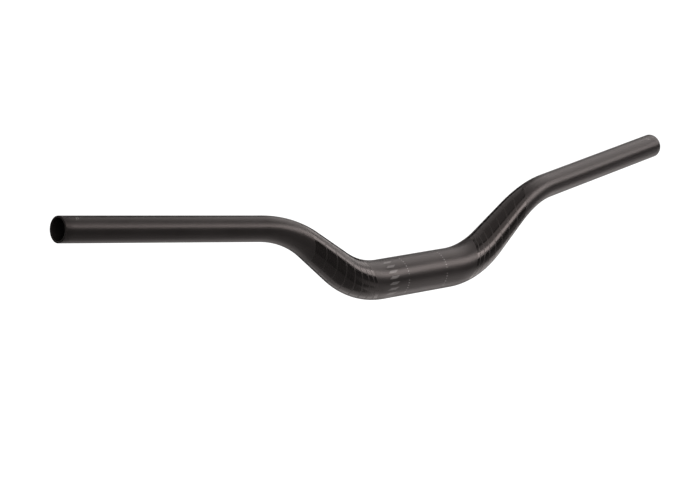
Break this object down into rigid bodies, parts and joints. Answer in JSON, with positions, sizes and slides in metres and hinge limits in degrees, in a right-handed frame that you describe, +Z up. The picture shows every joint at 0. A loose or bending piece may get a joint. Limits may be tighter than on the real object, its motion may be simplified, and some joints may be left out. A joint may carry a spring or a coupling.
{
  "type": "riser handlebar",
  "caption": "Wide riser handlebar for a mountain bike: a tapered aluminium tube bent up and back to each grip, with a thick parallel middle for the stem.",
  "frame": {"origin": "middle of the land that the stem clamps, on the tube's axis", "axes": "+X along the bar towards the rider's left grip, +Z up, +Y back towards the rider, the way the grips sweep"},
  "size_m": [0.8034, 0.0616, 0.1058],
  "materials": {
    "bar": "satin black coat"
  },
  "bodies": {
    "root": {"handlebar": "bar"}
  },
  "joints": []
}
